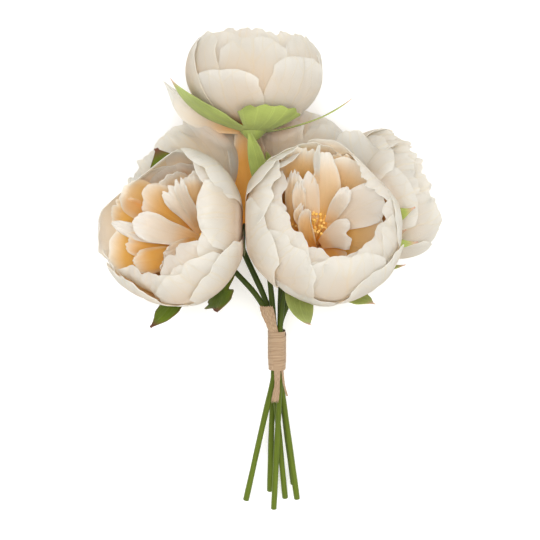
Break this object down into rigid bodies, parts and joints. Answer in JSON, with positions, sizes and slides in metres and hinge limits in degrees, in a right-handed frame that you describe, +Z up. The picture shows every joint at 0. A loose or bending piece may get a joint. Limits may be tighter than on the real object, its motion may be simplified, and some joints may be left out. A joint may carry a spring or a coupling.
{
  "type": "bunch of peonies",
  "caption": "Tied bunch of cream peonies in full bloom, lying on its back: cupped heads with layered petals, green leaves and bare stems bound with raffia.",
  "frame": {"origin": "middle of the footprint, on the surface that the bunch lies on", "axes": "+Y runs from the stem ends to the blooms, +Z up from the surface to the side the front blooms face"},
  "size_m": [0.2128, 0.2992, 0.1451],
  "materials": {
    "petals": "matte",
    "heart": "matte",
    "leaf": "satin",
    "dark_leaf": "satin",
    "stem": "satin",
    "raffia": "matte"
  },
  "bodies": {
    "root": {"petals_right_front": "petals", "heart_right_front": "heart", "calyx_right_front": "leaf", "petals_left_front": "petals", "heart_left_front": "heart", "calyx_left_front": "dark_leaf", "petals_top": "petals", "heart_top": "heart", "calyx_top": "leaf", "petals_right_back": "petals", "heart_right_back": "heart", "calyx_right_back": "leaf", "petals_left_back": "petals", "heart_left_back": "heart", "calyx_left_back": "leaf", "petals_centre_back": "petals", "heart_centre_back": "heart", "calyx_centre_back": "leaf", "stem_left_front": "stem", "stem_right_front": "stem", "stem_top": "stem", "stem_right_back": "stem", "stem_left_back": "stem", "stem_centre_back": "stem", "leaf_on_top_stem": "leaf", "tie_wrap": "raffia", "tie_end_above": "raffia", "tie_end_below": "raffia", "tie_strand_below": "raffia"}
  },
  "joints": []
}
